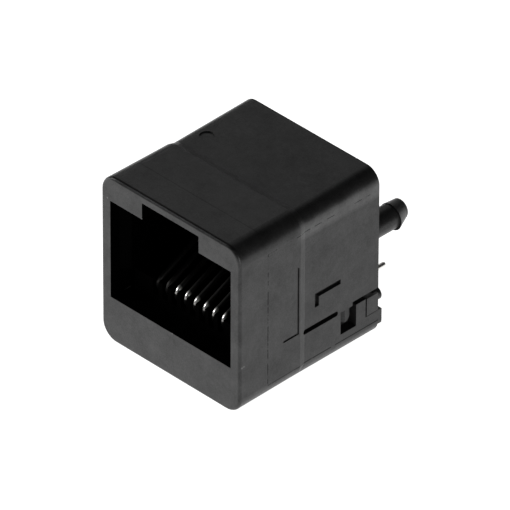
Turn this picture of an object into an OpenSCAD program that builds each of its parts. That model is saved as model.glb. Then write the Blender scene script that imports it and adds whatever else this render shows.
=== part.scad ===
// Top-entry board jack for an eight-way modular plug, lying on its contact side.
// Millimetres, +Z up. The mouth faces -Y and the board side faces +Y.
// The origin is on the underside, below the middle of the whole part, board pegs included.

/* [Housing] */
// Width over the side walls
housing_w = 15.2; // [14.9:0.1:16.5]
// Height from the underside to the latch side
housing_h = 15.5; // [15.3:0.1:17]
// Depth from the mouth face to the board side
housing_d = 15.25; // [14.6:0.05:18]
// Radius of the four long edges
edge_r = 1.55; // [0.8:0.05:1.8]
// Radius round the rim of the mouth face
rim_r = 0.25; // [0.1:0.05:0.4]
// Depth of the slightly larger collar behind the mouth face
collar_d = 6.6; // [4:0.1:6.8]
// How much the collar's walls lean in over this depth
collar_draft = 0.06; // [0.02:0.01:0.08]
// Height of the step behind the collar, which the latch side rises again towards the board
collar_step = 0.2; // [0.1:0.05:0.35]
// Length of the slope that makes this step
collar_slope = 0.6; // [0.3:0.1:0.9]
// Thickness of the side walls at the mouth
side_wall = 1; // [0.85:0.05:1.2]
// Thickness of the wall above the latch slot
top_wall = 0.76; // [0.7:0.02:1]
// Thickness of the wall under the contact carrier
bottom_wall = 1.5; // [1:0.1:1.8]
// Thickness of the chin below the mouth
chin_wall = 1.4; // [1:0.1:1.6]
// Height of the chin below the mouth
chin_h = 4.15; // [3.8:0.05:4.3]

/* [Plug way] */
// Width between the plug guides
plug_w = 11.9; // [11.7:0.05:12.2]
// Height between the contact floor and the shoulders
plug_h = 6.9; // [6.7:0.05:7.2]
// Depth from the mouth face to the plug's end stop
plug_d = 12.5; // [12:0.1:13]
// Depth of the wide mouth in front of the plug guides
mouth_d = 1; // [0.6:0.1:1.3]
// Width of the latch slot
latch_w = 6.2; // [5.8:0.05:6.5]
// Height of the latch slot above the shoulders
latch_h = 1.52; // [1.3:0.02:1.7]
// Gap between the two catch lugs in the latch slot
catch_gap = 4; // [3.6:0.1:4.4]
// Depth from the mouth face to the back of the catch lugs
catch_d = 4; // [3.4:0.1:4.6]
// Length of each catch lug
catch_l = 2.2; // [1.6:0.1:2.8]

/* [Snap windows] */
// Height of the upper edge of the snap arm
arm_h = 4.1; // [3.95:0.05:4.2]
// Width of the slots that free the snap arm
arm_gap = 0.45; // [0.35:0.05:0.55]
// Length of the closed slot above the snap arm
arm_slot_l = 3.8; // [2:0.1:4.2]
// Width of the web between this slot and the window
arm_web = 0.3; // [0.2:0.05:0.5]
// Length of the snap window
window_l = 1.7; // [1.4:0.1:1.9]
// Height of the window's lower edge
window_z = 2.1; // [2:0.05:2.25]
// Length of the ear behind the window
ear_l = 2.42; // [2.3:0.02:2.8]
// How far the open slot reaches forward over the window
step_l = 0.4; // [0.2:0.05:0.6]

/* [Side face details] */
// Depth of the shallow angled groove
groove_depth = 0.3; // [0.15:0.05:0.4]
// Width of this groove
groove_w = 0.44; // [0.3:0.02:0.6]
// Length of its level leg
groove_l = 2.8; // [2:0.1:3.4]
// Length of its upright leg
groove_h = 1.3; // [0.8:0.1:1.6]
// Height of its upper edge
groove_z = 7.4; // [7:0.1:8.5]
// Distance from the board side to its corner
groove_back = 6.95; // [6.5:0.05:7.4]
// Width of the fine line on the marking side
line_w = 0.2; // [0.12:0.02:0.3]
// Depth of this line
line_depth = 0.15; // [0.05:0.01:0.2]
// Distance from the mouth face to this line
line_y = 6.35; // [5.6:0.05:6.5]
// Diameter of the round gate mark on the latch side
gate_mark_d = 1.2; // [0.8:0.1:1.6]
// Depth of this gate mark
gate_mark_depth = 0.1; // [0.05:0.01:0.15]

/* [Board pegs and feet] */
// Distance between the two board pegs
peg_pitch = 11.43; // [11.2:0.01:11.6]
// Height of the pegs' axis above the underside
peg_z = 9; // [8.5:0.05:9.4]
// Diameter of each peg's shaft
peg_shaft_d = 2.14; // [1.9:0.02:2.2]
// Length of the shaft up to the barb
peg_shaft_l = 2.9; // [2:0.05:3.2]
// Diameter of the barb where it starts
peg_barb_d = 2.3; // [2.2:0.05:2.4]
// How far the barb's middle stands outboard of the shaft there
peg_barb_out = 0.04; // [0.02:0.01:0.08]
// Length of the barb, which slopes on its outboard side only
peg_barb_l = 1.5; // [1.2:0.05:1.8]
// Angle of this slope, in degrees
peg_barb_slope = 25; // [20:1:28]
// Radius round the barb's tip
peg_tip_r = 0.4; // [0.3:0.05:0.45]
// Height of the feet that hold the jack off its board
foot_h = 0.4; // [0.2:0.05:0.5]
// Height of each of the housing's feet across the wall
foot_w = 1.34; // [1:0.02:1.6]
// Diameter of the carrier's round feet
pad_d = 1.15; // [0.9:0.05:1.3]

/* [Contact carrier] */
// Gap round the carrier inside the housing
carrier_fit = 0.05; // [0.03:0.01:0.08]
// Distance from the mouth face to the carrier's nose
nose_y = 1.9; // [1.7:0.05:2]
// Length of the front comb
comb_l = 3.6; // [2.5:0.1:4.5]
// Width of the comb's slots
comb_slot_w = 0.62; // [0.58:0.02:0.7]
// Width of the rear comb wall
comb_wall_w = 9; // [8.8:0.1:9.1]
// Height of the rear comb wall above the contact floor
comb_wall_h = 5.9; // [5.6:0.1:6.3]
// Depth of the rear comb's slots
comb_wall_slot_d = 1.3; // [1:0.1:1.5]
// Height of the base plate above the contact floor, behind the end stop
plate_rise = 0.5; // [0.4:0.05:0.8]
// Length of the tab in each ear
tab_l = 1.25; // [1:0.05:1.4]
// Height of this tab
tab_h = 1.72; // [1.4:0.02:1.8]
// Gap in front of this tab
tab_gap = 0.13; // [0.08:0.01:0.2]
// Height of the snap lug out of the carrier's side
lug_out = 0.5; // [0.3:0.05:0.6]
// Length of the snap lug
lug_l = 1.05; // [0.8:0.05:1.1]
// Height of the snap lug along the side
lug_h = 1.35; // [1:0.05:1.5]

/* [Contacts] */
// Number of contacts
contact_count = 8; // [8]
// Distance between contacts in the mouth
contact_pitch = 1.016; // [1:0.002:1.04]
// Distance between solder tails along a row, both rows counted
tail_pitch = 1.27; // [1.2:0.01:1.29]
// Distance between the two rows of solder tails
tail_row_gap = 2.54; // [2.3:0.01:2.6]
// Height of the lower row of solder tails
tail_z = 3.45; // [3.2:0.05:3.5]
// Length of each solder tail out of the carrier
tail_l = 3.75; // [3:0.05:4]
// Diameter of the contact wire
wire_d = 0.44; // [0.4:0.01:0.5]
// Gap round the wire inside the carrier
wire_fit = 0.02; // [0.01:0.005:0.03]
// Radius of the front bend, at the middle of the wire
bend_r = 0.6; // [0.5:0.02:0.7]
// Distance from the nose's face to the front of the bend
bend_setback = 0.13; // [0.05:0.01:0.3]
// Height of the wire's lower run below the contact floor
run_drop = 1.14; // [1:0.02:1.3]
// Slope of the spring leg, in degrees
leg_slope = 25; // [22:0.5:26]
// How far the leg's end reaches into the rear comb
leg_reach = 0.6; // [0.4:0.05:0.8]
// Length over which each wire fans out to its solder tail
fan_l = 3; // [2:0.1:3.4]
// Width of the flattened stretch that anchors each wire
anchor_w = 0.62; // [0.56:0.02:0.7]
// Thickness of this stretch
anchor_t = 0.34; // [0.3:0.01:0.38]
// Length of this stretch
anchor_l = 1.2; // [0.8:0.1:1.4]

/* [Hidden] */
plastic = [0.09, 0.09, 0.095];
carrier_plastic = [0.07, 0.07, 0.075];
bright_metal = [0.82, 0.80, 0.76];
past = 1;     // how far a cut runs past the face that it opens
root = 0.3;   // how deep a raised detail starts inside the body that carries it
hair = 0.005; // how much thinner in radius a wire's straights are than its bends
round_fn = 48;
wire_fn = 24;

// Sizes that follow from the driving dimensions
mouth_w = housing_w - 2 * side_wall;
rear_w = housing_w - 2 * collar_step;
rear_r = edge_r - collar_step;
rear_rise = atan(collar_step / (housing_d - collar_d - collar_slope));
roof_z = housing_h - top_wall;
shoulder_z = roof_z - latch_h;
floor_z = shoulder_z - plug_h;
plate_z = floor_z + plate_rise;
comb_wall_z = floor_z + comb_wall_h;
guide_t = (mouth_w - plug_w) / 2;
ear_y = housing_d - ear_l;
window_y = ear_y - window_l;
tab_y = housing_d - tab_l;
tab_z = arm_h - tab_h;
foot_z = tab_z - foot_w;
carrier_y = chin_wall + carrier_fit;
carrier_z = bottom_wall + carrier_fit;
carrier_w = mouth_w - 2 * carrier_fit;
pad_x = rear_w / 2 - pad_d / 2 - 0.02;
pad_z = tab_z + tab_h / 2 + 0.36;
peg_len = peg_shaft_l + peg_barb_l;
overall_d = housing_d + peg_len;
bend_y = nose_y + bend_setback + wire_d / 2 + bend_r;
run_z = floor_z - run_drop;
bend_z = run_z + bend_r;
leg_y = bend_y - bend_r * sin(leg_slope);
leg_z = bend_z + bend_r * cos(leg_slope);
leg_end_y = plug_d + leg_reach;
leg_l = (leg_end_y - leg_y) / cos(leg_slope);
leg_end_z = leg_z + leg_l * sin(leg_slope);
anchor_end_y = housing_d - 0.1;
anchor_y = anchor_end_y - anchor_l;
fan_y = anchor_y - fan_l;

// ---------- helpers ----------

// Moves the jack from its mouth-face coordinates to the part's own origin
module place() {
    translate([0, -overall_d / 2, 0]) children();
}

// Extrudes an outline drawn in X and Z towards +Y
module along_y(length) {
    rotate([-90, 0, 0]) mirror([0, 1, 0]) linear_extrude(length) children();
}

// Extrudes an outline drawn in Y and Z towards +X
module along_x(length) {
    rotate([90, 0, 90]) linear_extrude(length) children();
}

// A block centred on X
module block(w, y0, y1, z0, z1) {
    translate([-w / 2, y0, z0]) cube([w, y1 - y0, z1 - z0]);
}

module both_sides() {
    children();
    mirror([1, 0, 0]) children();
}

module rounded_rect(w, h, r) {
    translate([-w / 2 + r, 0]) square([w - 2 * r, h]);
    translate([-w / 2, r]) square([w, h - 2 * r]);
    for (side = [-1, 1], z = [r, h - r])
        translate([side * (w / 2 - r), z]) circle(r = r, $fn = round_fn);
}

// A slot outline with round ends, running from the origin along the first axis
module slot_outline(length, width) {
    translate([width / 2, 0]) square([length - width, width]);
    for (x = [width / 2, length - width / 2])
        translate([x, width / 2]) circle(d = width, $fn = round_fn);
}

// ---------- housing ----------

// Section through one edge of the collar: X runs outwards to reach, Y runs back from the face.
// The slope at its back runs on into the rear part.
module collar_section(reach) {
    slope_end = 0.3;
    slope_lean = (collar_step - collar_draft) / collar_slope;
    square([reach - rim_r, collar_d]);
    translate([reach - rim_r, rim_r]) circle(r = rim_r, $fn = wire_fn);
    polygon([[0, rim_r], [reach, rim_r], [reach - collar_draft, collar_d],
        [reach - collar_step - slope_end * slope_lean, collar_d + collar_slope + slope_end],
        [0, collar_d + collar_slope + slope_end]]);
}

// Collar with a rounded rim, rounded long edges and the slope at its back
module collar() {
    for (side = [-1, 1], z = [edge_r, housing_h - edge_r])
        translate([side * (housing_w / 2 - edge_r), 0, z])
            rotate([-90, 0, 0]) rotate_extrude($fn = round_fn) collar_section(edge_r);
    translate([-(housing_w / 2 - edge_r), 0, housing_h / 2])
        along_x(housing_w - 2 * edge_r)
            for (side = [0, 1])
                mirror([0, side]) rotate(90) mirror([0, 1]) collar_section(housing_h / 2);
    translate([0, 0, edge_r]) linear_extrude(housing_h - 2 * edge_r)
        for (side = [0, 1]) mirror([side, 0]) collar_section(housing_w / 2);
}

// Height of the axis of the rear part's upper corners, which rises from the collar's slope
// to the board side
function rear_axis(y) = housing_h - edge_r + (y - collar_d - collar_slope) * tan(rear_rise);
function rear_top(y) = rear_axis(y) + rear_r / cos(rear_rise);

// A slab of the rear part, from low up to its latch side or to depth below that
module rear_slab(w, low, depth) {
    translate([-w / 2, 0, 0]) along_x(w)
        polygon([[collar_d, low], [collar_d, rear_top(collar_d) - depth],
            [housing_d, rear_top(housing_d) - depth], [housing_d, low]]);
}

module rear_part() {
    corner_x = rear_w / 2 - rear_r;
    rear_slab(2 * corner_x, 0, 0);
    rear_slab(rear_w, rear_r, rear_r / cos(rear_rise));
    both_sides() translate([corner_x, collar_d, rear_r]) rotate([-90, 0, 0])
        cylinder(h = housing_d - collar_d, r = rear_r, $fn = round_fn);
    intersection() {
        both_sides() translate([corner_x, collar_d, rear_axis(collar_d)])
            rotate([rear_rise - 90, 0, 0]) translate([0, 0, -past])
                cylinder(h = housing_d - collar_d + 2 * past, r = rear_r, $fn = round_fn);
        block(2 * housing_w, collar_d, housing_d, 0, 2 * housing_h);
    }
}

module shell() {
    collar();
    rear_part();
}

// The way that the plug and its latch go in
module plug_way() {
    block(mouth_w, -past, mouth_d, chin_h, shoulder_z);
    block(mouth_w, -past, chin_wall + past, chin_h, floor_z);
    translate([0, 0, floor_z]) linear_extrude(plug_h)
        polygon([[-mouth_w / 2, mouth_d], [mouth_w / 2, mouth_d],
            [plug_w / 2, mouth_d + guide_t], [-plug_w / 2, mouth_d + guide_t]]);
    block(plug_w, mouth_d, plug_d, floor_z, shoulder_z);
    block(latch_w, -past, housing_d + past, shoulder_z - 0.01, roof_z);
}

// Lugs that catch the plug's latch, with a sloping front
module catch_lugs() {
    lug_w = (latch_w - catch_gap) / 2;
    both_sides() translate([catch_gap / 2, 0, 0]) along_x(lug_w + root)
        polygon([[catch_d, shoulder_z], [catch_d, roof_z + root], [catch_d - catch_l, roof_z + root],
            [catch_d - catch_l, roof_z - 0.3], [catch_d - catch_l / 2, shoulder_z]]);
}

// The room for the contact carrier, open at the board side
module carrier_pocket() {
    block(mouth_w, chin_wall, housing_d + past, bottom_wall, floor_z + carrier_fit);
    block(plug_w + 2 * carrier_fit, plug_d, housing_d + past, floor_z, plate_z + carrier_fit);
    block(comb_wall_w + 2 * carrier_fit, plug_d - 0.01, housing_d + past,
        floor_z, comb_wall_z + carrier_fit);
}

// Openings through one side wall that free the snap arm and its window
module snap_cuts() {
    wall_x = mouth_w / 2 - 0.01;
    translate([wall_x, window_y - arm_web - arm_slot_l, arm_h])
        along_x(past + side_wall) slot_outline(arm_slot_l, arm_gap);
    translate([wall_x, window_y, window_z])
        cube([past + side_wall, window_l, arm_h + 0.1 - window_z]);
    translate([wall_x, ear_y - step_l, arm_h])
        cube([past + side_wall, ear_l + step_l + past, arm_gap]);
    translate([wall_x, tab_y - tab_gap, tab_z])
        cube([past + side_wall, tab_l + tab_gap + past, tab_h + 0.01]);
}

// Shallow groove with a level leg and an upright leg
module angled_groove() {
    corner_y = housing_d - groove_back;
    face_x = rear_w / 2;
    translate([face_x - groove_depth, corner_y, groove_z - groove_w])
        cube([past, groove_l, groove_w]);
    translate([face_x - groove_depth, corner_y, groove_z - groove_h])
        cube([past, groove_w, groove_h]);
}

// Fine line that frames the bare marking area
module marking_line() {
    line_z0 = arm_h + 0.6;
    line_z1 = line_z0 + 6.2;
    line_foot = 1.6;
    face_x = housing_w / 2;
    translate([face_x - line_depth, line_y - line_w / 2, line_z0])
        cube([past, line_w, line_z1 - line_z0]);
    translate([face_x - line_depth, line_y - line_foot, line_z0 - line_w / 2])
        cube([past, line_foot + line_w / 2, line_w]);
}

module gate_mark() {
    mark_y = collar_d + 2.7;
    translate([-0.36 * housing_w, mark_y, rear_top(mark_y) - gate_mark_depth])
        rotate([rear_rise, 0, 0]) cylinder(h = past, d = gate_mark_d, $fn = round_fn);
}

// Board peg on the +X side, from the board side towards +Y. Its barb is part of a leaning cone,
// so that its inboard side runs on straight and its outboard side slopes in to the rounded tip.
module board_peg() {
    lean = peg_barb_slope / 2;
    barb_r = peg_barb_d / 2;
    taper = tan(lean);
    cone_l = peg_barb_l + 2 * past;
    start_r = barb_r + past * taper;
    // The rounded tip stands round the cone's own middle at that depth
    tip_y = peg_barb_l - peg_tip_r;
    tip_x = peg_barb_out - tip_y * taper;
    // A little wider than the cone there, so that the two meet in a clean edge
    tip_play = 0.03;
    tip_flat_r = barb_r - tip_y * taper - peg_tip_r + tip_play;
    translate([0, -root, 0]) rotate([-90, 0, 0])
        cylinder(h = peg_shaft_l + 2 * root, d = peg_shaft_d - 2 * hair, $fn = round_fn);
    translate([0, peg_shaft_l, 0]) intersection() {
        translate([peg_barb_out, 0, 0]) rotate([-90, 0, lean]) translate([0, 0, -past])
            cylinder(h = cone_l, r1 = start_r, r2 = start_r - cone_l * taper, $fn = round_fn);
        translate([tip_x, 0, 0]) rotate([-90, 0, 0]) rotate_extrude($fn = round_fn) {
            square([2 * barb_r, tip_y]);
            square([tip_flat_r, peg_barb_l]);
            translate([tip_flat_r, tip_y]) intersection() {
                circle(r = peg_tip_r, $fn = round_fn);
                square(peg_tip_r);
            }
        }
    }
}

// Feet at the housing's board side: lower ones on the side walls, upper ones further in
module housing_feet() {
    foot_x = mouth_w / 2;
    lower_l = rear_w / 2 - foot_x;
    upper_l = 1.4;
    upper_gap = 0.1;
    intersection() {
        translate([0, housing_d - root, 0]) along_y(foot_h + root)
            rounded_rect(rear_w, housing_h, rear_r);
        both_sides() translate([foot_x, housing_d - root, foot_z])
            cube([lower_l, foot_h + root, foot_w]);
    }
    both_sides() translate([foot_x - upper_l, housing_d - root, shoulder_z + upper_gap])
        cube([upper_l, foot_h + root, foot_w]);
}

module housing() {
    color(plastic) place() {
        difference() {
            shell();
            plug_way();
            carrier_pocket();
            both_sides() snap_cuts();
            both_sides() angled_groove();
            marking_line();
            gate_mark();
        }
        catch_lugs();
        housing_feet();
        both_sides() translate([peg_pitch / 2, housing_d, peg_z]) board_peg();
    }
}

// ---------- contact carrier ----------

// Snap lug on the carrier's side: rises towards the board and ends in a square catch face
module snap_lug() {
    side_x = carrier_w / 2;
    lug_y = ear_y - step_l - lug_l;
    lug_z = arm_h - carrier_fit - lug_h;
    ramp = 0.55 * lug_l;
    intersection() {
        translate([0, 0, lug_z]) linear_extrude(lug_h)
            polygon([[side_x - root, lug_y], [side_x, lug_y], [side_x + lug_out, lug_y + ramp],
                [side_x + lug_out, lug_y + lug_l], [side_x - root, lug_y + lug_l]]);
        translate([side_x - 2 * root, lug_y + lug_l, lug_z]) along_x(lug_out + 3 * root)
            rotate(90) slot_outline(2 * lug_h, lug_l);
    }
}

// Tab that fills the notch in the ear, with a round foot on the board side
module side_tab() {
    side_x = carrier_w / 2;
    translate([side_x - root, tab_y, tab_z + carrier_fit])
        cube([rear_w / 2 - side_x + root, tab_l, tab_h - 2 * carrier_fit]);
    translate([pad_x, housing_d - root, pad_z])
        rotate([-90, 0, 0]) cylinder(h = foot_h + root, d = pad_d, $fn = round_fn);
}

module comb_slots() {
    for (i = [0 : contact_count - 1])
        translate([contact_x(i), 0, 0]) {
            block(comb_slot_w, nose_y - past, nose_y + comb_l,
                run_z - wire_d / 2 - wire_fit, floor_z + past);
            block(comb_slot_w, plug_d - past, plug_d + comb_wall_slot_d,
                floor_z, leg_end_z + wire_d / 2 + 0.1);
        }
}

module contact_carrier() {
    color(carrier_plastic) place() {
        difference() {
            union() {
                block(carrier_w, carrier_y, housing_d, carrier_z, arm_h - carrier_fit);
                block(plug_w - 2 * carrier_fit, nose_y, housing_d, arm_h - 0.3, floor_z);
                block(plug_w - 2 * carrier_fit, plug_d, housing_d, floor_z - 0.3, plate_z);
                block(comb_wall_w, plug_d, housing_d, floor_z, comb_wall_z);
            }
            comb_slots();
            for (i = [0 : contact_count - 1]) channel(i);
        }
        both_sides() {
            snap_lug();
            side_tab();
        }
    }
}

// ---------- contacts ----------

function contact_x(i) = (i - (contact_count - 1) / 2) * contact_pitch;
function tail_x(i) = (i - (contact_count - 1) / 2) * tail_pitch;
function row_z(i) = tail_z + (i % 2 == 0 ? tail_row_gap : 0);

module rod(from, to, d) {
    run = to - from;
    length = norm(run);
    translate(from) rotate([0, acos(run[2] / length), atan2(run[1], run[0])])
        cylinder(h = length, d = d, $fn = wire_fn);
}

module knee(at, d) {
    translate(at) sphere(d = d, $fn = wire_fn);
}

// One wire's run from the bend to its anchor, swollen by grow all round
module held_run(i, grow) {
    d = wire_d - 2 * hair + 2 * grow;
    fan_start = [contact_x(i), fan_y, run_z];
    fan_end = [tail_x(i), anchor_y + 0.1, row_z(i)];
    rod([contact_x(i), bend_y - 0.03, run_z], fan_start, d);
    knee(fan_start, d + 2 * hair);
    rod(fan_start, fan_end, d);
    knee(fan_end, d + 2 * hair);
    translate([tail_x(i) - anchor_t / 2 - grow, anchor_y - grow, row_z(i) - anchor_w / 2 - grow])
        cube([anchor_t + 2 * grow, anchor_l + 2 * grow, anchor_w + 2 * grow]);
}

// The room for one wire in the carrier, with its way out at the board side
module channel(i) {
    held_run(i, wire_fit);
    rod([tail_x(i), anchor_y + anchor_l / 2, row_z(i)], [tail_x(i), housing_d + past, row_z(i)],
        wire_d + 2 * wire_fit);
}

module front_bend(i) {
    translate([contact_x(i), bend_y, bend_z]) rotate([0, 90, 180])
        rotate_extrude(angle = 180 - leg_slope, $fn = round_fn)
            translate([bend_r, 0]) circle(d = wire_d, $fn = wire_fn);
}

// A straight end of wire with a rounded tip, from the origin along +Z
module wire_end(length, d) {
    rotate_extrude($fn = wire_fn) {
        square([d / 2, length - d / 2]);
        translate([0, length - d / 2]) intersection() {
            circle(d = d, $fn = wire_fn);
            square(d / 2);
        }
    }
}

module contact(i) {
    lap = 0.03;
    // From here on the tail has the wire's full diameter
    tail_start = 0.2;
    color(bright_metal) place() {
        held_run(i, 0);
        front_bend(i);
        translate([contact_x(i), leg_y, leg_z]) rotate([leg_slope - 90, 0, 0])
            translate([0, 0, -lap]) wire_end(leg_l + lap, wire_d - 2 * hair);
        rod([tail_x(i), anchor_end_y - lap, row_z(i)], [tail_x(i), housing_d + tail_start, row_z(i)],
            wire_d - 2 * hair);
        translate([tail_x(i), housing_d + tail_start - lap, row_z(i)]) rotate([-90, 0, 0])
            wire_end(tail_l - tail_start + lap, wire_d);
    }
}

module contact_1() contact(0);
module contact_2() contact(1);
module contact_3() contact(2);
module contact_4() contact(3);
module contact_5() contact(4);
module contact_6() contact(5);
module contact_7() contact(6);
module contact_8() contact(7);

housing();
contact_carrier();
contact_1();
contact_2();
contact_3();
contact_4();
contact_5();
contact_6();
contact_7();
contact_8();
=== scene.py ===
"""Looks of the modular jack: black plastics, plated contact wires, camera and soft light."""
import math

import bpy
from mathutils import Matrix, Vector


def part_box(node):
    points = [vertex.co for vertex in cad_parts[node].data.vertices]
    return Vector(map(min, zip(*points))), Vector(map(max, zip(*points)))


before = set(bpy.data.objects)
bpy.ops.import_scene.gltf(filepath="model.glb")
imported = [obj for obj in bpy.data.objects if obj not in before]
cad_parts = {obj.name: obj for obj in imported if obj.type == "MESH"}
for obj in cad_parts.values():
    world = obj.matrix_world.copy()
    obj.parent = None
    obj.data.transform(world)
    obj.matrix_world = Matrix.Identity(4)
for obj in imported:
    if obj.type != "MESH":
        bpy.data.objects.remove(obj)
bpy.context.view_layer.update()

MM = 0.001
HOUSING_LO, HOUSING_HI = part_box("housing")
MOUTH_Y = HOUSING_LO.y
BOARD_PEG_LENGTH = 4.4 * MM
BACK_Y = HOUSING_HI.y - BOARD_PEG_LENGTH
HALF_W = HOUSING_HI.x
TOP_Z = HOUSING_HI.z


# ---------- camera ----------

CAMERA_AZIMUTH = math.radians(45.2)
CAMERA_ELEVATION = math.radians(35.4)
CAMERA_ROLL = math.radians(0.2)
CAMERA_DISTANCE = 0.8055
VIEW_WIDTH = 39.35 * MM
SENSOR = 36.0
AIM_DEPTH = 8.0 * MM
AIM_HEIGHT = 7.7 * MM
AIM = Vector((0.0, MOUTH_Y + AIM_DEPTH, AIM_HEIGHT))
AIM_RIGHT = 0.8125 * MM
AIM_UP = -0.189 * MM


def make_camera():
    toward = Vector((math.sin(CAMERA_AZIMUTH) * math.cos(CAMERA_ELEVATION),
                     -math.cos(CAMERA_AZIMUTH) * math.cos(CAMERA_ELEVATION),
                     math.sin(CAMERA_ELEVATION)))
    right = Vector((0, 0, 1)).cross(toward).normalized()
    up = toward.cross(right)
    turned_right = right * math.cos(CAMERA_ROLL) + up * math.sin(CAMERA_ROLL)
    turned_up = up * math.cos(CAMERA_ROLL) - right * math.sin(CAMERA_ROLL)
    basis = Matrix((turned_right, turned_up, toward)).transposed()
    data = bpy.data.cameras.new("camera")
    data.sensor_width = SENSOR
    data.lens = SENSOR * CAMERA_DISTANCE / VIEW_WIDTH
    camera = bpy.data.objects.new("camera", data)
    place = AIM + toward * CAMERA_DISTANCE + turned_right * AIM_RIGHT + turned_up * AIM_UP
    camera.matrix_world = Matrix.Translation(place) @ basis.to_4x4()
    bpy.context.scene.collection.objects.link(camera)
    bpy.context.scene.camera = camera


# ---------- node helpers ----------

class Shader:
    """Adds nodes to one material and links them with short calls."""

    def __init__(self, name):
        self.material = bpy.data.materials.new(name)
        self.material.use_nodes = True
        self.tree = self.material.node_tree
        self.bsdf = self.tree.nodes["Principled BSDF"]
        self.point = self.add("ShaderNodeTexCoord").outputs["Object"]

    def add(self, kind, **values):
        node = self.tree.nodes.new(kind)
        for key, value in values.items():
            setattr(node, key, value)
        return node

    def feed(self, socket, value):
        if isinstance(value, bpy.types.NodeSocket):
            self.tree.links.new(value, socket)
        else:
            socket.default_value = value

    def math(self, operation, *values):
        node = self.add("ShaderNodeMath", operation=operation)
        for socket, value in zip(node.inputs, values):
            self.feed(socket, value)
        return node.outputs[0]

    def noise(self, scale, detail=2.0, roughness=0.5):
        node = self.add("ShaderNodeTexNoise")
        self.feed(node.inputs["Vector"], self.point)
        node.inputs["Scale"].default_value = scale
        node.inputs["Detail"].default_value = detail
        node.inputs["Roughness"].default_value = roughness
        return node.outputs["Fac"]

    def remap(self, value, low, high, to_low, to_high):
        node = self.add("ShaderNodeMapRange")
        self.feed(node.inputs["Value"], value)
        for name, number in (("From Min", low), ("From Max", high),
                             ("To Min", to_low), ("To Max", to_high)):
            self.feed(node.inputs[name], number)
        return node.outputs["Result"]

    def axes(self):
        node = self.add("ShaderNodeSeparateXYZ")
        self.feed(node.inputs[0], self.point)
        return node.outputs["X"], node.outputs["Y"], node.outputs["Z"]

    def bump(self, height, distance, strength=1.0, under=None):
        node = self.add("ShaderNodeBump")
        self.feed(node.inputs["Height"], height)
        node.inputs["Distance"].default_value = distance
        node.inputs["Strength"].default_value = strength
        if under is not None:
            self.feed(node.inputs["Normal"], under)
        return node.outputs["Normal"]

    def above(self, value, edge, soft):
        """0 below the edge and 1 above it, with a soft change."""
        return self.remap(value, edge - soft, edge + soft, 0.0, 1.0)

    def below(self, value, edge, soft):
        """1 below the edge and 0 above it, with a soft change."""
        return self.math("SUBTRACT", 1.0, self.above(value, edge, soft))

    def between(self, value, low, high, soft):
        """1 between low and high, 0 elsewhere."""
        return self.math("MULTIPLY", self.above(value, low, soft), self.below(value, high, soft))

    def times(self, first, second):
        return self.math("MULTIPLY", first, second)

    def greatest(self, first, second):
        return self.math("MAXIMUM", first, second)

    def tinted(self, level, tint=(1.0, 1.0, 1.0)):
        """Base colour of one brightness, which may vary over the surface."""
        colour = self.add("ShaderNodeCombineColor")
        for channel, share in zip(("Red", "Green", "Blue"), tint):
            value = level if share == 1.0 else self.times(level, share)
            self.feed(colour.inputs[channel], value)
        self.feed(self.bsdf.inputs["Base Color"], colour.outputs["Color"])


# ---------- plastics ----------

# The plug way's walls, and how far past each of them its painted shade reaches: a deep black with
# no sheen, standing in for the shadow inside
MOUTH_SIDE_X = 6.6 * MM
MOUTH_ROOF_Z = 14.74 * MM
MOUTH_FLOOR_Z = 4.15 * MM
SIDE_REACH = 0.06 * MM
ROOF_REACH = 0.04 * MM
FACE_REACH = 0.03 * MM
BACK_REACH = 0.1 * MM
CARRIER_FLOOR_REACH = 0.5 * MM
MASK_SOFT = 0.02 * MM

# Parting lines of the mould
SIDE_INSERT_Y = MOUTH_Y + 3.05 * MM
SIDE_INSERT_LOW_Z = 1.45 * MM
SIDE_INSERT_HIGH_Z = 13.8 * MM
SIDE_INSERT_BACK_Y = BACK_Y - 1.0 * MM
SIDE_FACE_DEPTH = 0.6 * MM
TOP_INSERT_Y = MOUTH_Y + 2.9 * MM
TOP_FACE_DEPTH = 0.1 * MM

# Specks of flash: x, depth behind the mouth, height and radius, in mm
SPECKS = (
    (-6.9, 0.0, 13.35, 0.07),
    (0.2, 0.0, 4.15, 0.07),
    (7.55, 0.25, 4.55, 0.09),
    (7.58, 0.45, 4.58, 0.07),
    (-3.1, 0.0, 13.2, 0.09),
    (7.55, 9.8, 1.45, 0.09),
)
SPECK_LEVEL = 0.09
SPECK_SOFT = 0.03 * MM

# Noises: scale, detail and roughness
CLOUD = (420.0, 5.0, 0.62)
PATCHES = (2100.0, 4.0, 0.6)
GRAIN = (7500.0, 3.0, 0.75)
LINE_BREAKS = (1300.0, 3.0, 0.7)
COARSE_RELIEF = (1500.0, 3.0, 0.6)
FINE_RELIEF = (13000.0, 3.0, 0.7)
RELIEF_DEPTH = 0.012 * MM
RELIEF_STRENGTH = 0.6

# Darker parting lines on the housing, and places where shade or a highlight is painted on it, that
# keep less or more of their brightness, and how much
LINE_LOSS = 0.75
TOP_LINE_SHARE = 0.5
COLLAR_STEP_Y = (MOUTH_Y + 6.6 * MM, MOUTH_Y + 7.2 * MM)
COLLAR_STEP_DEPTH = 0.3 * MM
COLLAR_STEP_SHADE = 0.14
RIM_HEIGHT = 0.24 * MM
RIM_DEPTH = 0.28 * MM
RIM_SHADE = 0.5
HIGHLIGHT_Z = (TOP_Z - 2.25 * MM, TOP_Z - 0.9 * MM)
HIGHLIGHT_FROM_Y = MOUTH_Y + 6.5 * MM
HIGHLIGHT_DEPTH = 0.9 * MM
HIGHLIGHT_GAIN = 0.85
STEP_SOFT = 0.05 * MM

# Painted sheen falloff from one end of the part to the other, where the light falls off, and sheen
# from the low to the high of each noise
NOISE_RANGE = (0.3, 0.7)
PAINTED_FALLOFF_ALONG = (1.02, 0.90)
PAINTED_FALLOFF_UPWARD = (1.03, 0.95)
PAINTED_FALLOFF_RIGHTWARD = (0.97, 0.89)
CLOUD_SHEEN = (0.80, 1.20)
PATCH_SHEEN = (0.90, 1.10)
GRAIN_SHEEN = (0.76, 1.24)

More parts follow.
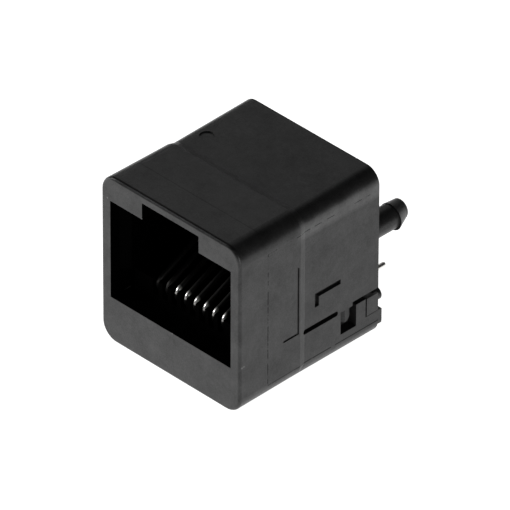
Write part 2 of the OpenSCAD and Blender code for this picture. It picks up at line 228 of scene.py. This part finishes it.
BLACK_LEVEL = 0.012
LEVEL_SPREAD = 0.004
OUTER_ROUGHNESS = (0.35, 0.39)
INSIDE_ROUGHER = 0.3
SHEEN_SPECULAR = 0.435
LEAST_SPECULAR = 0.01


def plug_way_shade_mask(s, x, y, z, low):
    """Where shade is painted: 1 on the walls of the plug way and its latch slot, 0 on every outer
    face.
    """
    side = s.below(s.math("ABSOLUTE", x), MOUTH_SIDE_X + SIDE_REACH, MASK_SOFT)
    mask = s.times(side, s.between(z, low, MOUTH_ROOF_Z + ROOF_REACH, MASK_SOFT))
    return s.times(mask, s.between(y, MOUTH_Y + FACE_REACH, BACK_Y - BACK_REACH, MASK_SOFT))


def side_lines(s, x, y, z):
    """Broken parting lines that frame the mould's side insert, as a mask on both side faces."""
    broken = s.noise(*LINE_BREAKS)
    sides = s.above(s.math("ABSOLUTE", x), HALF_W - SIDE_FACE_DEPTH, MASK_SOFT)
    total = None
    # Across the line and where, along it from and to, half its width, and where it breaks off
    for across, at, along, low, high, width, keep in (
            (y, SIDE_INSERT_Y, z, SIDE_INSERT_LOW_Z, SIDE_INSERT_HIGH_Z, 0.045 * MM, 0.50),
            (z, SIDE_INSERT_LOW_Z, y, SIDE_INSERT_Y, BACK_Y, 0.055 * MM, 0.36),
            (z, SIDE_INSERT_HIGH_Z, y, SIDE_INSERT_Y, SIDE_INSERT_BACK_Y, 0.04 * MM, 0.52)):
        distance = s.math("ABSOLUTE", s.math("SUBTRACT", across, at))
        line = s.times(s.below(distance, width, MASK_SOFT), s.between(along, low, high, MASK_SOFT))
        line = s.times(line, s.above(broken, keep, 0.03))
        total = line if total is None else s.greatest(total, line)
    return s.times(total, sides)


def top_line(s, y, z):
    """Faint line across the latch side, where two mould inserts meet."""
    distance = s.math("ABSOLUTE", s.math("SUBTRACT", y, TOP_INSERT_Y))
    near = s.below(distance, 0.04 * MM, 0.03 * MM)
    return s.times(near, s.above(z, TOP_Z - TOP_FACE_DEPTH, MASK_SOFT))


def collar_step_shade(s, x, y):
    """Painted shade on the sloped step behind the collar, on both side faces."""
    sides = s.above(s.math("ABSOLUTE", x), HALF_W - COLLAR_STEP_DEPTH, STEP_SOFT)
    return s.times(s.between(y, *COLLAR_STEP_Y, STEP_SOFT), sides)


def front_rim_shade(s, y, z):
    """Painted shade on the rounded edge between the mouth face and the latch side."""
    return s.times(s.above(z, TOP_Z - RIM_HEIGHT, 0.03 * MM),
                   s.below(y, MOUTH_Y + RIM_DEPTH, 0.06 * MM))


def painted_edge_highlight(s, x, y, z):
    """Painted highlight: the brighter strip just below the rounded upper edge, behind the collar.
    """
    painted_highlight = s.times(s.between(z, *HIGHLIGHT_Z, 0.25 * MM), s.above(y, HIGHLIGHT_FROM_Y, 0.5 * MM))
    return s.times(painted_highlight, s.above(x, HALF_W - HIGHLIGHT_DEPTH, STEP_SOFT))


def flash_specks(s):
    """Pale specks of flash along the moulding's edges."""
    total = None
    for x, y, z, radius in SPECKS:
        node = s.add("ShaderNodeVectorMath", operation="DISTANCE")
        s.feed(node.inputs[0], s.point)
        node.inputs[1].default_value = (x * MM, MOUTH_Y + y * MM, z * MM)
        spot = s.below(node.outputs["Value"], radius * MM, SPECK_SOFT)
        total = spot if total is None else s.greatest(total, spot)
    return total


def painted_falloff_and_mottle(s, x, y, z, cloud):
    """Painted falloff of sheen, a little less towards the board, the latch side and the right;
    mottled and grained at random.
    """
    # Painted light: the sheen falls off with place on the part, as the light would
    painted_falloff = s.times(s.remap(y, MOUTH_Y, BACK_Y, *PAINTED_FALLOFF_ALONG),
                   s.remap(z, 0.0, TOP_Z, *PAINTED_FALLOFF_UPWARD))
    painted_falloff = s.times(painted_falloff, s.remap(x, -HALF_W, HALF_W, *PAINTED_FALLOFF_RIGHTWARD))
    mottled = s.times(s.remap(cloud, *NOISE_RANGE, *CLOUD_SHEEN),
                      s.remap(s.noise(*PATCHES), *NOISE_RANGE, *PATCH_SHEEN))
    grained = s.remap(s.noise(*GRAIN), *NOISE_RANGE, *GRAIN_SHEEN)
    return s.times(painted_falloff, s.times(mottled, grained))


def marks_and_painted_light(s, x, y, z):
    """Share of its brightness that each spot of the housing keeps: darker parting lines, painted
    shade on the collar step and front rim, and a painted highlight below the upper edge.
    """
    lines = s.greatest(side_lines(s, x, y, z), s.times(top_line(s, y, z), TOP_LINE_SHARE))
    lines_and_painted_shade = s.greatest(s.times(lines, LINE_LOSS),
                     s.greatest(s.times(collar_step_shade(s, x, y), COLLAR_STEP_SHADE),
                                s.times(front_rim_shade(s, y, z), RIM_SHADE)))
    painted_highlight = s.times(painted_edge_highlight(s, x, y, z), HIGHLIGHT_GAIN)
    return s.times(s.math("SUBTRACT", 1.0, lines_and_painted_shade), s.math("ADD", 1.0, painted_highlight))


def moulded_black(name, low, with_marks_and_painted_light):
    """Fine-grained black moulding outside, and painted shade inside the plug way: a much deeper
    black with its sheen taken away.
    """
    s = Shader(name)
    x, y, z = s.axes()
    # Painted shade: inside the plug way the colour and sheen drop to almost nothing
    inside = plug_way_shade_mask(s, x, y, z, low)
    outside = s.math("SUBTRACT", 1.0, inside)
    cloud = s.noise(*CLOUD)
    level = s.times(s.remap(cloud, *NOISE_RANGE, BLACK_LEVEL - LEVEL_SPREAD,
                            BLACK_LEVEL + LEVEL_SPREAD), outside)
    shade = s.times(outside, painted_falloff_and_mottle(s, x, y, z, cloud))
    if with_marks_and_painted_light:
        # Parting lines, plus painted shade and a painted highlight, in both colour and sheen
        kept = marks_and_painted_light(s, x, y, z)
        shade = s.times(shade, kept)
        level = s.math("ADD", s.times(level, kept), s.times(flash_specks(s), SPECK_LEVEL))
    s.tinted(level)
    s.feed(s.bsdf.inputs["Roughness"],
           s.math("ADD", s.remap(cloud, *NOISE_RANGE, *OUTER_ROUGHNESS),
                  s.times(inside, INSIDE_ROUGHER)))
    s.feed(s.bsdf.inputs["Specular IOR Level"],
           s.math("ADD", s.times(shade, SHEEN_SPECULAR), LEAST_SPECULAR))
    fine = s.bump(s.noise(*FINE_RELIEF), RELIEF_DEPTH, RELIEF_STRENGTH)
    s.feed(s.bsdf.inputs["Normal"],
           s.bump(s.noise(*COARSE_RELIEF), RELIEF_DEPTH, RELIEF_STRENGTH, fine))
    return s.material


# ---------- contacts ----------

# Where the wires keep their plated colour; painted shade darkens the rest of them inside the
# housing
BEND_LOW_Z = 6.06 * MM
BEND_BACK_Y = MOUTH_Y + 2.42 * MM
SHADED_X = -2.2 * MM
LIT_X = -1.8 * MM
SHADED_SHARE = 0.07
LEG_LOW_Z = 6.1 * MM
PLATING_LEVEL = 0.86
LEG_SHADE_LEVEL = 0.035
PAINTED_SHADE_LEVEL = 0.004
PLATING_TINT = (1.0, 0.985, 0.95)
DULL_ROUGHNESS = 0.5
BRIGHT_ROUGHNESS = 0.33


def contact_metal():
    """Plated wire, bright on the tops of the bends and the tails; elsewhere it is rougher, and
    painted shade darkens it where the comb holds it, along the legs and on the two wires at the
    left.
    """
    s = Shader("contact_plating")
    x, y, z = s.axes()
    tails = s.above(y, BACK_Y - BACK_REACH, MASK_SOFT)
    bends = s.times(s.above(z, BEND_LOW_Z, 0.12 * MM), s.below(y, BEND_BACK_Y, 0.22 * MM))
    # Painted shade on the two wires at the left, which the housing's wall keeps from the light
    bends = s.times(bends, s.remap(x, SHADED_X, LIT_X, SHADED_SHARE, 1.0))
    bright = s.greatest(bends, tails)
    legs = s.times(s.above(z, LEG_LOW_Z, 0.10 * MM), LEG_SHADE_LEVEL)
    level = s.greatest(s.times(bright, PLATING_LEVEL), s.greatest(legs, PAINTED_SHADE_LEVEL))
    s.tinted(level, PLATING_TINT)
    s.bsdf.inputs["Metallic"].default_value = 1.0
    s.feed(s.bsdf.inputs["Roughness"],
           s.remap(bright, 0.0, 1.0, DULL_ROUGHNESS, BRIGHT_ROUGHNESS))
    return s.material


def dress_cad():
    housing = moulded_black("housing_black", MOUTH_FLOOR_Z - FACE_REACH, with_marks_and_painted_light=True)
    carrier = moulded_black("carrier_black", MOUTH_FLOOR_Z - CARRIER_FLOOR_REACH, with_marks_and_painted_light=False)
    metal = contact_metal()
    materials = {"housing": housing, "contact_carrier": carrier}
    for name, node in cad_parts.items():
        node.data.materials.clear()
        node.data.materials.append(materials.get(name, metal))


# ---------- stage ----------

FLOOR_HALF = 1.5
FLOOR_GREY = 0.86
FLOOR_GLOW = 1.05
FLOOR_ROUGHNESS = 0.9
FLOOR_SPECULAR = 0.1
WORLD_STRENGTH = 0.02
LIGHT_AIM = Vector((0.0, 0.0, 7.0 * MM))
WHITE = (1.0, 1.0, 1.0, 1.0)


def pale_floor():
    """A white sheet, bright enough to the camera and in reflections to leave no shadow."""
    mesh = bpy.data.meshes.new("floor")
    corners = [(-FLOOR_HALF, -FLOOR_HALF, 0), (FLOOR_HALF, -FLOOR_HALF, 0),
               (FLOOR_HALF, FLOOR_HALF, 0), (-FLOOR_HALF, FLOOR_HALF, 0)]
    mesh.from_pydata(corners, [], [(0, 1, 2, 3)])
    floor = bpy.data.objects.new("floor", mesh)
    bpy.context.scene.collection.objects.link(floor)
    s = Shader("floor_white")
    s.bsdf.inputs["Base Color"].default_value = (FLOOR_GREY, FLOOR_GREY, FLOOR_GREY, 1.0)
    s.bsdf.inputs["Roughness"].default_value = FLOOR_ROUGHNESS
    s.bsdf.inputs["Specular IOR Level"].default_value = FLOOR_SPECULAR
    s.bsdf.inputs["Emission Color"].default_value = WHITE
    s.bsdf.inputs["Emission Strength"].default_value = FLOOR_GLOW
    mesh.materials.append(s.material)


def area_light(name, place, width, height, power):
    data = bpy.data.lights.new(name, "AREA")
    data.shape = "RECTANGLE"
    data.size = width
    data.size_y = height
    data.energy = power
    light = bpy.data.objects.new(name, data)
    direction = (LIGHT_AIM - Vector(place)).normalized()
    light.location = place
    light.rotation_euler = direction.to_track_quat("-Z", "Y").to_euler()
    bpy.context.scene.collection.objects.link(light)


def light_stage():
    world = bpy.data.worlds.new("studio")
    bpy.context.scene.world = world
    world.use_nodes = True
    background = world.node_tree.nodes["Background"]
    background.inputs["Color"].default_value = WHITE
    background.inputs["Strength"].default_value = WORLD_STRENGTH
    # Low on the right, to lift the marking side
    area_light("side_softbox", (0.45, -0.12, 0.06), 0.22, 0.22, 0.85)
    # Upright strip on the left in front of the mouth, which the bends of the wires mirror
    area_light("key_strip", (-0.45, -0.28, 0.22), 0.10, 0.22, 1.6)
    # Behind on the left, for the sheen on the latch side
    area_light("back_softbox", (-0.40, 0.42, 0.38), 0.40, 0.40, 0.275)


make_camera()
dress_cad()
pale_floor()
light_stage()
bpy.context.scene.view_settings.view_transform = "Standard"
